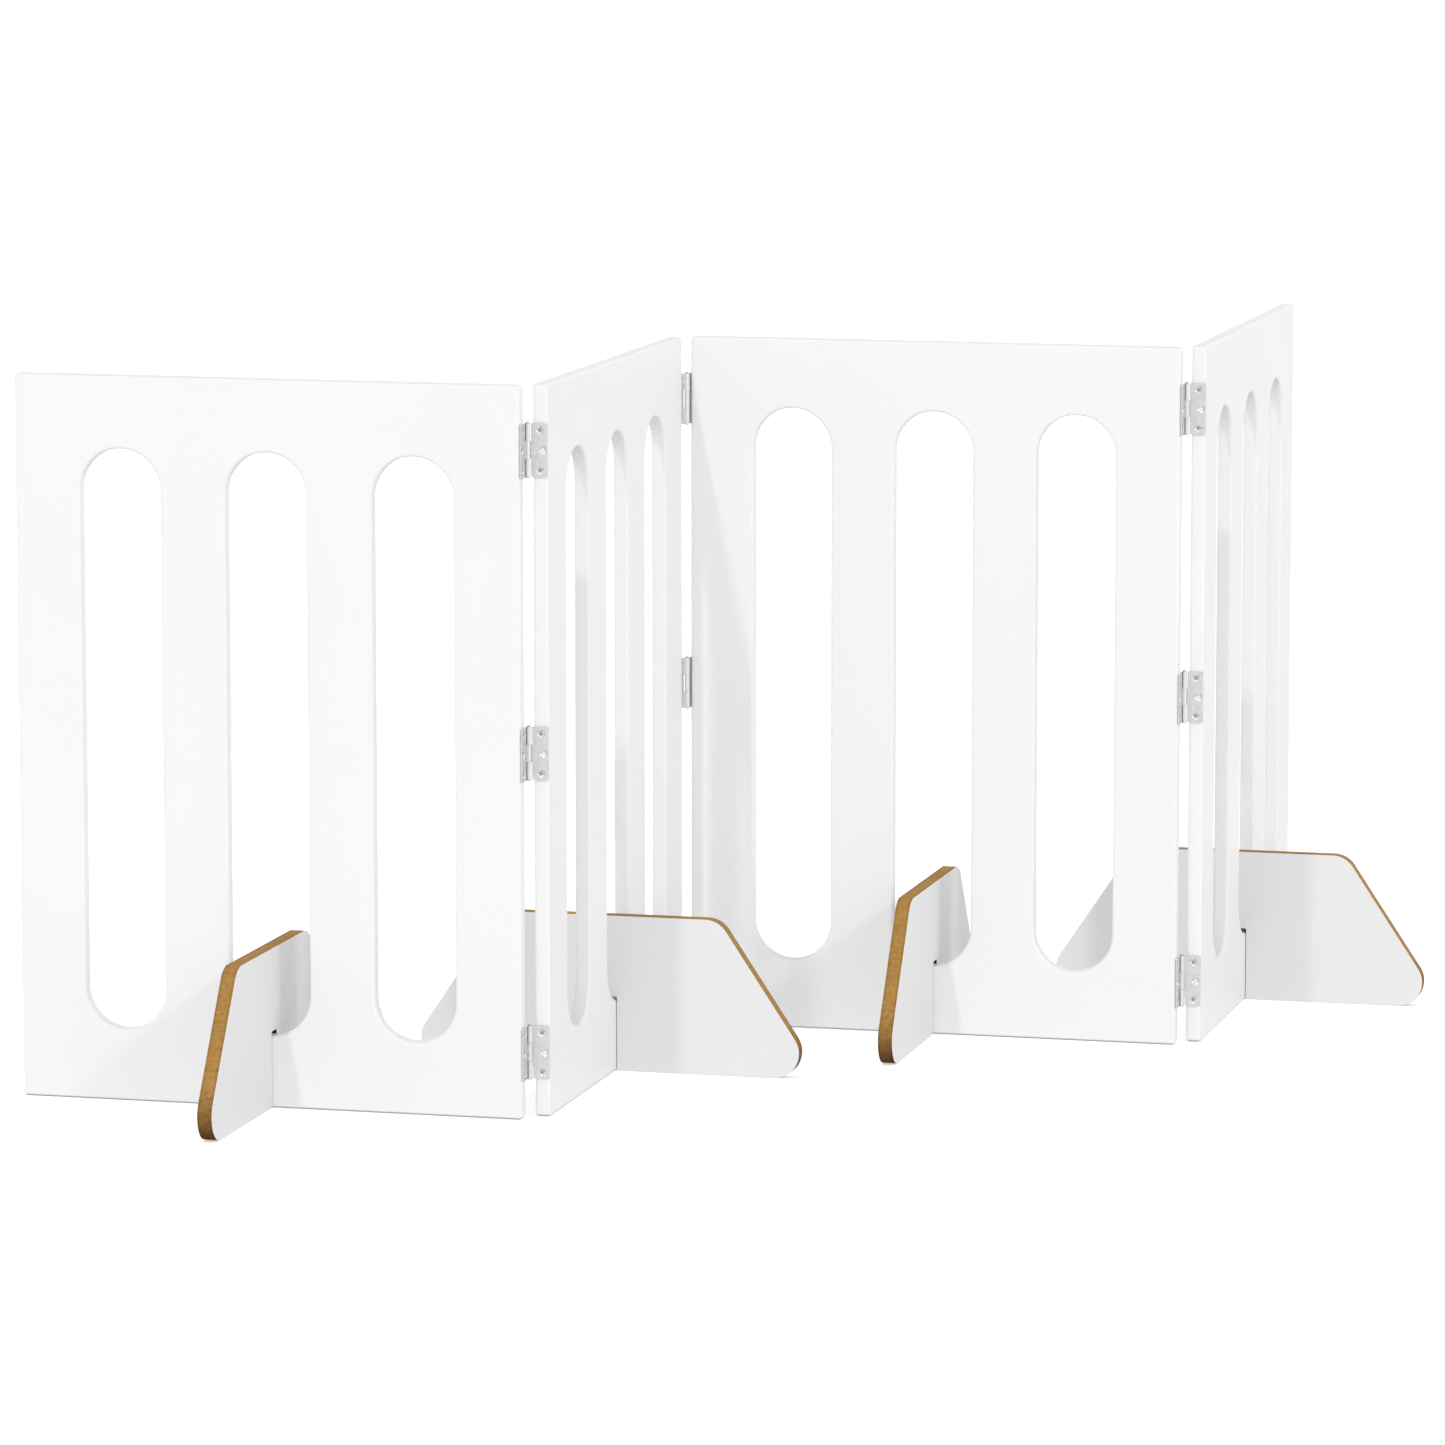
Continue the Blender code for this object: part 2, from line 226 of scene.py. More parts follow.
def circle(x: float, z: float, radius: float, steps: int) -> Array:
    """Points of a circle, anticlockwise: centre + radius * (cos t, sin t)."""
    turn = full_turn(steps)
    return np.stack([x + radius * np.cos(turn), z + radius * np.sin(turn)], axis=1)


def polar(radius: Array, turn: Array, height: Array) -> Array:
    """Points about Z, (radius * cos t, radius * sin t, height), with the arrays broadcast."""
    parts = np.broadcast_arrays(radius * np.cos(turn), radius * np.sin(turn), height)
    return np.stack(parts, axis=-1)


def lifted(ring: Array, y: float) -> Array:
    """An (x, z) ring as points at depth y."""
    return np.column_stack([ring[:, 0], np.full(len(ring), y), ring[:, 1]])


def plate_levels(
    thickness: float, rounding: float, steps: int, border: float
) -> list[Pair]:
    """Levels through a plate whose edges are quarter rounds.

    Args:
        thickness: the plate's thickness.
        rounding: radius of the quarter rounds.
        steps: faces across each one.
        border: width of a flat strip inside each one, on the plate's faces.

    Returns:
        (depth, inset) of each level, from the front face to the back.
    """
    turn = np.linspace(0, math.pi / 2, steps + 1)
    depth = thickness / 2 - rounding + rounding * np.sin(turn)
    inset = rounding * (1 - np.cos(turn))
    depth = np.append(depth, thickness / 2)
    inset = np.append(inset, rounding + border)
    return list(zip(-depth[::-1], inset[::-1])) + list(zip(depth, inset))


# --- finishes ---


class Slot(Enum):
    """The record's material slots."""

    PAINT = "paint"
    FOOT_BOARD = "foot_board"
    ZINC = "zinc"
    PIN_STEEL = "pin_steel"
    SCREW_STEEL = "screw_steel"


class NodeTree:
    """A short way to place and join shader nodes."""

    def __init__(self, tree: bpy.types.NodeTree) -> None:
        """Keeps the tree that nodes go into."""
        self.tree = tree

    def add(self, kind: str, settings: dict | None = None, **inputs: object) -> Node:
        """Adds a node.

        Args:
            kind: the node's type name.
            settings: attributes of the node to set.
            inputs: values or sockets for its inputs, by name with _ for a space.

        Returns:
            The node.
        """
        node = self.tree.nodes.new(kind)
        for name, value in (settings or {}).items():
            setattr(node, name, value)
        self.fill(node, **inputs)
        return node

    def fill(self, node: Node, **inputs: object) -> None:
        """Feeds several of a node's inputs, by name with _ for a space."""
        for name, value in inputs.items():
            self.feed(node.inputs[name.replace("_", " ")], value)

    def feed(self, socket: Socket, value: object) -> None:
        """Joins a socket to an input, or sets the input's own value."""
        if isinstance(value, Socket):
            self.tree.links.new(value, socket)
        else:
            socket.default_value = value

    def maths(
        self, operation: str, first: object, second: object = 0.0, clamp: bool = False
    ) -> Socket:
        """A Math node's result."""
        node = self.add("ShaderNodeMath", {"operation": operation, "use_clamp": clamp})
        self.feed(node.inputs[0], first)
        self.feed(node.inputs[1], second)
        return node.outputs[0]

    def mixture(self, *parts: tuple[object, object], clamp: bool = False) -> Socket:
        """The sum of values, each times its weight; clamp holds each sum inside 0..1."""
        total, *others = [self.maths("MULTIPLY", value, weight) for value, weight in parts]
        for part in others:
            total = self.maths("ADD", total, part, clamp)
        return total

    def between(self, factor: Socket, first: object, second: object) -> Socket:
        """Goes from the first value at factor 0 to the second at factor 1."""
        return self.mixture((first, self.maths("SUBTRACT", 1.0, factor)), (factor, second))

    def spread(
        self, value: object, low: float, high: float, to_low: float, to_high: float
    ) -> Socket:
        """Maps a value from one range to another, held inside it."""
        ends = {"From_Min": low, "From_Max": high, "To_Min": to_low, "To_Max": to_high}
        return self.add("ShaderNodeMapRange", Value=value, **ends).outputs[0]

    def noise(
        self, where: object, scale: float, detail: float = 3.0, roughness: float = 0.5
    ) -> Socket:
        """A noise pattern's value."""
        look = {"Scale": scale, "Detail": detail, "Roughness": roughness}
        return self.add("ShaderNodeTexNoise", Vector=where, **look).outputs["Fac"]

    def blend(self, factor: object, first: object, second: object, kind: str = "MIX") -> Socket:
        """Mixes two colours."""
        node = self.add("ShaderNodeMix", {"data_type": "RGBA", "blend_type": kind})
        self.fill(node, Factor=factor, A=first, B=second)
        return node.outputs["Result"]


def new_group(name: str, *extra: str) -> tuple:
    """Starts the shader node group of a finish.

    Args:
        name: the group's name.
        extra: names of vector inputs besides those that every finish has.

    Returns:
        The group, its NodeTree helper, its input node and its output node.
    """
    inputs = {"Colour": "Color", "Contrast": "Float", "Rough Low": "Float", "Rough High": "Float"}
    inputs.update(dict.fromkeys(("Where", *extra), "Vector"))
    outputs = {"Colour": "Color", "Roughness": "Float", "Height": "Float"}
    group = bpy.data.node_groups.new(name, "ShaderNodeTree")
    for way, sockets in (("INPUT", inputs), ("OUTPUT", outputs)):
        for label, kind in sockets.items():
            group.interface.new_socket(label, in_out=way, socket_type=f"NodeSocket{kind}")
    tree = NodeTree(group)
    return group, tree, tree.add("NodeGroupInput"), tree.add("NodeGroupOutput")


class Effects:
    """The shader node groups that more than one finish uses."""

    def __init__(self) -> None:
        """Builds each group once."""
        self.skin = self._paint_skin()
        self.drawn = self._drawn_metal()

    @staticmethod
    def _deliver(
        tree: NodeTree, given: Node, out: Node, shade: Socket,
        gloss: Node, height: Socket,
    ) -> None:
        """Feeds a group's outputs; its colour is the given one * (1 + (shade - 0.5) * contrast).

        Args:
            tree: the group's helper.
            given: the group's input node.
            out: the group's output node.
            shade: a pattern about 0.5.
            gloss: a Map Range node that still lacks the two roughnesses.
            height: the height of the surface.
        """
        centred = tree.maths("SUBTRACT", shade, 0.5)
        gain = tree.maths("ADD", 1.0, tree.maths("MULTIPLY", centred, given.outputs["Contrast"]))
        scaled = tree.add("ShaderNodeVectorMath", {"operation": "SCALE"}, Scale=gain)
        tree.feed(scaled.inputs[0], given.outputs["Colour"])
        tree.fill(gloss, To_Min=given.outputs["Rough Low"], To_Max=given.outputs["Rough High"])
        tree.fill(out, Colour=scaled.outputs[0], Roughness=gloss.outputs[0], Height=height)

    def _paint_skin(self) -> bpy.types.NodeTree:
        """Sprayed paint: slow clouding of the colour, a fine orange peel and duller patches."""
        group, tree, given, out = new_group("paint_skin")
        where = given.outputs["Where"]
        cloud = tree.noise(where, 5.0, 3.0)
        fine = tree.noise(where, 260.0, 2.0)
        peel = tree.noise(where, 700.0, 2.0, 0.45)
        wave = tree.noise(where, 22.0, 2.0)
        shade = tree.mixture((cloud, 0.8), (fine, 0.2))
        gloss = tree.add("ShaderNodeMapRange", Value=wave, From_Min=0.3, From_Max=0.7)
        self._deliver(tree, given, out, shade, gloss, tree.mixture((peel, 0.7), (wave, 0.3)))
        return group

    def _drawn_metal(self) -> bpy.types.NodeTree:
        """Rolled and plated metal: long fine lines, a blotchy plating bloom and dull specks."""
        group, tree, given, out = new_group("drawn_metal", "Stretch")
        where = given.outputs["Where"]
        stretch = tree.add("ShaderNodeVectorMath", {"operation": "MULTIPLY"})
        tree.feed(stretch.inputs[0], where)
        tree.feed(stretch.inputs[1], given.outputs["Stretch"])
        lines = tree.noise(stretch.outputs[0], 2600.0, 3.0, 0.6)
        bloom = tree.noise(where, 240.0, 4.0, 0.6)
        speck = tree.noise(where, 1500.0, 2.0, 0.5)
        shade = tree.mixture((lines, 0.55), (bloom, 0.45))
        gloss = tree.add("ShaderNodeMapRange", Value=shade, From_Min=0.35, From_Max=0.65)
        self._deliver(tree, given, out, shade, gloss, tree.mixture((lines, 0.7), (speck, 0.3)))
        return group


def start_material(name: str) -> tuple[Material, NodeTree, Node, Socket]:
    """Starts a material.

    Args:
        name: the material's name.

    Returns:
        The material, its NodeTree helper, its Principled shader and the Object coordinates.
    """
    material = bpy.data.materials.new(name)
    material.use_nodes = True
    tree = NodeTree(material.node_tree)
    shader = material.node_tree.nodes["Principled BSDF"]
    where = tree.add("ShaderNodeTexCoord").outputs["Object"]
    return material, tree, shader, where


def dress(
    tree: NodeTree, shader: Node, height: Socket, strength: float, distance: float,
    **inputs: object,
) -> None:
    """Gives a Principled shader a bump from a height, and values for its other inputs."""
    bump = tree.add("ShaderNodeBump", Strength=strength, Distance=distance, Height=height)
    tree.fill(shader, Normal=bump.outputs[0], **inputs)


@dataclass(frozen=True)
class PaintFinish:
    """White satin paint over smooth board, with a painted contact shadow along the line where it
    stands on the floor.
    """

    name: str
    colour: Triple
    clouding: float = 0.03
    gloss_low: float = 0.34
    gloss_high: float = 0.44
    peel: float = 0.00002
    contact_shadow: float = 0.0
    contact_shadow_band: Pair = (0.0006, 0.0020)
    contact_shadow_colour: Triple = (0.22, 0.21, 0.20)

    def build(self, effects: Effects) -> Material:
        """Makes the material from the shared paint skin."""
        material, tree, shader, where = start_material(self.name)
        skin = tree.add(
            "ShaderNodeGroup", {"node_tree": effects.skin}, Where=where, Contrast=self.clouding,
            Rough_Low=self.gloss_low, Rough_High=self.gloss_high, Colour=(*self.colour, 1.0),
        )
        rise = tree.add("ShaderNodeSeparateXYZ", Vector=where).outputs[2]
        # Painted shade: the colour turns dark in a thin band just above the floor, standing in for
        # the contact shadow.
        contact_shadow_mask = tree.spread(rise, *self.contact_shadow_band, self.contact_shadow, 0.0)
        colour = tree.blend(contact_shadow_mask, skin.outputs["Colour"], (*self.contact_shadow_colour, 1.0))
        dress(
            tree, shader, skin.outputs["Height"], 0.25, self.peel, Base_Color=colour,
            Roughness=skin.outputs["Roughness"], Specular_IOR_Level=0.12,
        )
        return material


@dataclass(frozen=True)
class RawEdgeFinish:
    """The sawn edge of fibreboard: short fibres, darker by the pressed faces, with painted shade
    towards the floor.
    """

    name: str
    light: Triple = (0.565, 0.318, 0.094)
    dark: Triple = (0.195, 0.092, 0.018)
    floor_shade: Triple = (0.22, 0.16, 0.12)
    floor_shade_band: Pair = (0.004, 0.052)
    floor_shade_wander: float = 0.012
    squeeze: float = 0.08
    thickness: float = 0.015

    def build(self, middle: float, axis: int) -> Material:
        """Makes the material.

        Args:
            middle: where the plate's middle plane stands along the axis.
            axis: 0 if the plate's thickness runs along X, 1 if along Y.

        Returns:
            The material.
        """
        material, tree, shader, where = start_material(self.name)
        parts = tree.add("ShaderNodeSeparateXYZ", Vector=where)
        off = tree.maths("ABSOLUTE", tree.maths("SUBTRACT", parts.outputs[axis], middle))
        core = tree.spread(off, 0.25 * self.thickness, 0.5 * self.thickness, 0.0, 1.0)
        fibre = tree.noise(where, 1300.0, 4.0, 0.7)
        clump = tree.noise(where, 220.0, 3.0, 0.6)
        scale = [1.0, 1.0, 1.0]
        scale[axis] = self.squeeze
        squeezed = tree.add("ShaderNodeMapping", Vector=where, Scale=scale).outputs[0]
        streak = tree.noise(squeezed, 420.0, 2.0, 0.5)
        shade = tree.mixture((fibre, 0.6), (clump, 0.28), (streak, 0.12))
        shade = tree.spread(shade, 0.36, 0.64, 1.0, 0.0)
        shade = tree.mixture((shade, 0.8), (core, 0.3), clamp=True)
        colour = tree.blend(shade, (*self.light, 1.0), (*self.dark, 1.0))
        # Painted shade: the edge is darkened towards the floor, where it faces down away from the
        # light; the clumps wobble the band's edge.
        shade_wobble = tree.maths("MULTIPLY", tree.maths("SUBTRACT", clump, 0.5), self.floor_shade_wander)
        rise = tree.maths("ADD", parts.outputs[2], shade_wobble)
        floor_shaded = tree.blend(1.0, colour, (*self.floor_shade, 1.0), "MULTIPLY")
        colour = tree.blend(tree.spread(rise, *self.floor_shade_band, 1.0, 0.0), colour, floor_shaded)
        height = tree.mixture((fibre, 0.7), (streak, 0.3))
        dress(
            tree, shader, height, 0.8, 0.00015, Base_Color=colour,
            Roughness=tree.spread(fibre, 0.3, 0.7, 0.72, 0.92), Specular_IOR_Level=0.15,
        )
        return material


@dataclass(frozen=True)
class MetalFinish:
    """Zinc-plated steel."""

    name: str
    colour: Triple
    contrast: float = 0.3
    rough_low: float = 0.28
    rough_high: float = 0.46
    stretch: Triple = (1.0, 1.0, 0.06)
    depth: float = 0.00001

    def build(self, effects: Effects) -> Material:
        """Makes the material from the shared drawn metal."""
        material, tree, shader, where = start_material(self.name)
        metal = tree.add(
            "ShaderNodeGroup", {"node_tree": effects.drawn}, Where=where, Contrast=self.contrast,
            Rough_Low=self.rough_low, Rough_High=self.rough_high, Colour=(*self.colour, 1.0),
            Stretch=self.stretch,
        )
        dress(
            tree, shader, metal.outputs["Height"], 0.35, self.depth, Metallic=1.0,
            Base_Color=metal.outputs["Colour"], Roughness=metal.outputs["Roughness"],
        )
        return material


class Finishes:
    """Every finish on the gate, each built once."""

    def __init__(self) -> None:
        """Builds the shared effects and the materials."""
        effects = Effects()
        # The boards carry the painted contact shadow along their bottom edge.
        self.paint = PaintFinish("board_paint", (0.89, 0.89, 0.887), contact_shadow=0.85).build(effects)
        even = (1.0, 1.0, 1.0)
        foot_paint = PaintFinish("foot_paint", (0.80, 0.80, 0.80), 0.04, 0.38, 0.48)
        zinc = MetalFinish("hinge_zinc", (0.74, 0.74, 0.73), 0.8, 0.24, 0.42)
        # The knuckles' zinc is lighter than the leaves' as a painted highlight on the barrel; its
        # lower roughness is the smoother rolled surface.
        knuckle = MetalFinish("knuckle_zinc", (0.79, 0.79, 0.78), 0.5, 0.10, 0.20)
        pin = MetalFinish("pin_zinc", (0.62, 0.62, 0.61), 0.4, 0.24, 0.38)
        screw = MetalFinish("screw_zinc", (0.83, 0.83, 0.84), 0.4, 0.15, 0.28, even)
        # Dark zinc for the cross recess and pit: painted shade in the recess.
        recess = MetalFinish("recess_zinc", (0.34, 0.34, 0.345), 0.6, 0.35, 0.5, even)
        self.foot_face, self.zinc, self.knuckle, self.pin, self.screw, self.recess = [
            finish.build(effects) for finish in (foot_paint, zinc, knuckle, pin, screw, recess)
        ]


# --- pieces ---


def make_piece(
    name: str, surface: Surface, materials: list[Material], body: str,
    replaces: tuple[str, ...] = (), sharp: float = 38.0,
) -> bpy.types.Object:
    """Puts a surface into the scene as one piece of the gate.

    Args:
        name: the piece's name.
        surface: its surface, already in place.
        materials: its materials, in the order of the blocks' finish numbers.
        body: the body it rides on.
        replaces: the solids it stands for.
        sharp: edges that turn by more than this many degrees stay sharp.

    Returns:
        The piece.
    """
    mesh = bpy.data.meshes.new(name)
    counts = np.concatenate([np.full(len(faces), faces.shape[1]) for faces, _ in surface.blocks])
    loops = np.concatenate([faces.ravel() for faces, _ in surface.blocks]).astype(np.int32)
    slots = np.concatenate([np.full(len(faces), number) for faces, number in surface.blocks])
    mesh.vertices.add(len(surface.points))
    mesh.vertices.foreach_set("co", surface.points.astype(np.float32).ravel())
    mesh.loops.add(len(loops))
    mesh.loops.foreach_set("vertex_index", loops)
    mesh.polygons.add(len(counts))
    starts = np.concatenate([[0], np.cumsum(counts)[:-1]]).astype(np.int32)
    mesh.polygons.foreach_set("loop_start", starts)
    mesh.polygons.foreach_set("material_index", slots.astype(np.int32))
    mesh.update(calc_edges=True)
    mesh.validate()
    for material in materials:
        mesh.materials.append(material)
    mesh.shade_smooth()
    mesh.set_sharp_from_angle(angle=math.radians(sharp))
    piece = bpy.data.objects.new(name, mesh)
    bpy.context.scene.collection.objects.link(piece)
    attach(piece, body)
    if replaces:
        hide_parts(*replaces)
    size = len(mesh.vertices), len(mesh.polygons)
    log.info("%s: %d points, %d faces, rides on %s", name, *size, body)
    return piece


@dataclass(frozen=True)
class Place:
    """A frame in plan: an origin, the way across and the way inward, both level unit vectors."""

    origin: Triple
    across: Pair
    inward: Pair

    def axes(self) -> tuple[Array, Array]:
        """The ways across and inward as 3-D vectors."""
        return np.array([*self.across, 0.0]), np.array([*self.inward, 0.0])

    def set(self, surface: Surface, lift: float = 0.0) -> Surface:
        """Puts a surface here, with +Z kept up."""
        origin = np.array(self.origin) + (0.0, 0.0, lift)
        return surface.moved(*self.axes(), np.array([0.0, 0.0, 1.0]), origin)


def standing(box: tuple, along_x: bool) -> Place:
    """Where a plate stands: at the middle of its solid's box, on the box's base.

    Args:
        box: the solid's low and high corners.
        along_x: whether the plate runs along X, and not along Y.

    Returns:
        The frame, its way inward a quarter turn left of its way across.
    """
    low, high = (np.array(corner) for corner in box)
    middle = (low + high) / 2
    across, inward = ((1, 0), (0, 1)) if along_x else ((0, 1), (-1, 0))
    return Place((middle[0], middle[1], low[2]), across, inward)


@dataclass
class BoardSet:
    """The four slotted boards."""

    width: float = 0.500
    height: float = 0.700
    thickness: float = 0.015
    corner: float = 0.004
    least_corner: float = 0.0004
    edge_round: float = 0.003
    edge_steps: int = 7
    window_width: float = 0.080
    window_bottom: float = 0.070
    window_top: float = 0.630
    window_pitch: float = 0.145
    window_steps: int = 56
    border: float = 0.0006

    def outline(self, inset: float) -> Array:
        """The outline pulled in by inset: a rounded rectangle standing on z = inset."""
        half, low, high = self.width / 2 - inset, inset, self.height - inset
        corners = [(half, low), (half, high), (-half, high), (-half, low)]
        radius = max(self.corner - inset, self.least_corner)
        return rounded_outline([(x, z, radius) for x, z in corners], CORNER_STEPS)[0]

    def window(self, middle: float, inset: float) -> Array:
        """One window opened out by inset: two half circles about its end centres."""
        radius = self.window_width / 2
        turn = np.linspace(0, math.pi, self.window_steps + 1)
        x, z = (radius + inset) * np.cos(turn), (radius + inset) * np.sin(turn)
        upper = np.stack([middle + x, self.window_top - radius + z], axis=1)
        lower = np.stack([middle - x, self.window_bottom + radius - z], axis=1)
        return np.concatenate([upper, lower])

    def surface(self) -> Surface:
        """A board standing on z = 0 with its middle plane at y = 0.

        Rings of the outline and of each window, one per level, are joined level to level, and
        the first and the last level are filled flat.

        Returns:
            The closed surface.
        """
        levels = plate_levels(self.thickness, self.edge_round, self.edge_steps, self.border)
        middles = (-self.window_pitch, 0.0, self.window_pitch)
        stacks = [[self.outline(inset) for _, inset in levels]]
        stacks += [[self.window(middle, inset) for _, inset in levels] for middle in middles]
        parts = []
        ends: list[list[tuple[Array, int]]] = [[], []]
        start = 0
        for number, rings in enumerate(stacks):
            points = np.concatenate([lifted(r, depth) for r, (depth, _) in zip(rings, levels)])
            faces = grid_faces(len(levels), len(rings[0]), True)
            parts.append(Surface(points, [(faces if number else faces[:, ::-1], 0)]))
            ends[0].append((rings[0], start))
            ends[1].append((rings[-1], start + len(points) - len(rings[-1])))
            start += len(points)
        body = join(parts)
        for end, facing in zip(ends, (-1.0, 1.0)):
            body.blocks.append((flat_faces(end, facing), 0))
        return body

    def build(self, finishes: Finishes) -> None:
        """Makes the four boards where the solids stand."""
        plain = self.surface()
        for number in range(1, 5):
            place = standing(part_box(f"panel_{number}"), number % 2 == 1)
            make_piece(
                f"slotted_board_{number}", place.set(plain), [finishes.paint], f"board_{number}",
                (f"panel_{number}",),
            )


@dataclass
class FootSet:
    """The four foot plates, each with a slot from below that straddles a board's bottom rail."""

    thickness: float = 0.015
    height: float = 0.154
    half_top: float = 0.111
    half_base: float = 0.21380
    corner: float = 0.025
    slot_width: float = 0.016
    slot_height: float = 0.074
    slot_corner: float = 0.0015
    slot_mouth: float = 0.0009
    slot_shade_from: float = 0.002
    arris: float = 0.0004
    arris_steps: int = 3
    steps: int = 18

    def outline(self) -> tuple[Array, Array]:
        """The rounded outline, anticlockwise from the slot's right side, and its normals."""
        half, mouth, corner = self.slot_width / 2, self.slot_mouth, self.corner
        corners = [
            (half, 0.0, mouth), (self.half_base, 0.0, corner),
            (self.half_top, self.height, corner), (-self.half_top, self.height, corner),
            (-self.half_base, 0.0, corner), (-half, 0.0, mouth),
            (-half, self.slot_height, self.slot_corner),
            (half, self.slot_height, self.slot_corner),
        ]
        return rounded_outline(corners, self.steps)

    def surface(self) -> Surface:
        """A foot standing on z = 0 with its middle plane at y = 0.

        Each level is the outline moved in along its normals; the two arrises are quarter rounds.
        Block 0 is the painted faces with their arrises, block 1 the raw edge between them and block
        2 the slot's top and right wall, whose raw edge is near black as painted shade in the deep
        gap. The slot's left wall starts below the height where that shade begins, so it stays in
        block 1.

        Returns:
            The closed surface.
        """
        points, normals = self.outline()
        levels = plate_levels(self.thickness, self.arris, self.arris_steps, self.arris)
        rings = [points - normals * inset for _, inset in levels]
        stacked = np.concatenate([lifted(ring, y) for ring, (y, _) in zip(rings, levels)])
        size, strips = len(points), len(levels) - 1
        faces = grid_faces(len(levels), size, True)[:, ::-1]
        edge = np.repeat(np.arange(strips), size) == len(levels) // 2 - 1
        # Slot faces above a small height get the near-black edge: painted shade in the gap.
        near = np.abs(points[:, 0]) < self.slot_width
        in_slot = np.tile(near & (points[:, 1] > self.slot_shade_from), strips)
        blocks = [(faces[~edge], 0), (faces[edge & ~in_slot], 1), (faces[edge & in_slot], 2)]
        for ring, start, facing in ((rings[0], 0, -1.0), (rings[-1], strips * size, 1.0)):
            blocks.append((flat_faces([(ring, start)], facing), 0))
        return Surface(stacked, blocks)

    def build(self, finishes: Finishes) -> None:
        """Makes the four feet where the solids stand."""
        plain = self.surface()
        for number in range(1, 5):
            along_x = number % 2 == 0
            place = standing(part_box(f"foot_{number}"), along_x)
            axis = int(along_x)
            middle = float(place.origin[axis])
            edge = RawEdgeFinish(f"raw_edge_{number}")
            # Painted shade: the slot's walls take a near-black raw edge for the dark gap.
            shaded_slot_edge = RawEdgeFinish(
                f"slot_edge_{number}", light=(0.075, 0.045, 0.018), dark=(0.02, 0.012, 0.006)
            )
            finish = [finishes.foot_face, edge.build(middle, axis), shaded_slot_edge.build(middle, axis)]
            make_piece(
                f"foot_plate_{number}", place.set(plain), finish, f"foot_{number}_body",
                (f"foot_{number}",),
            )


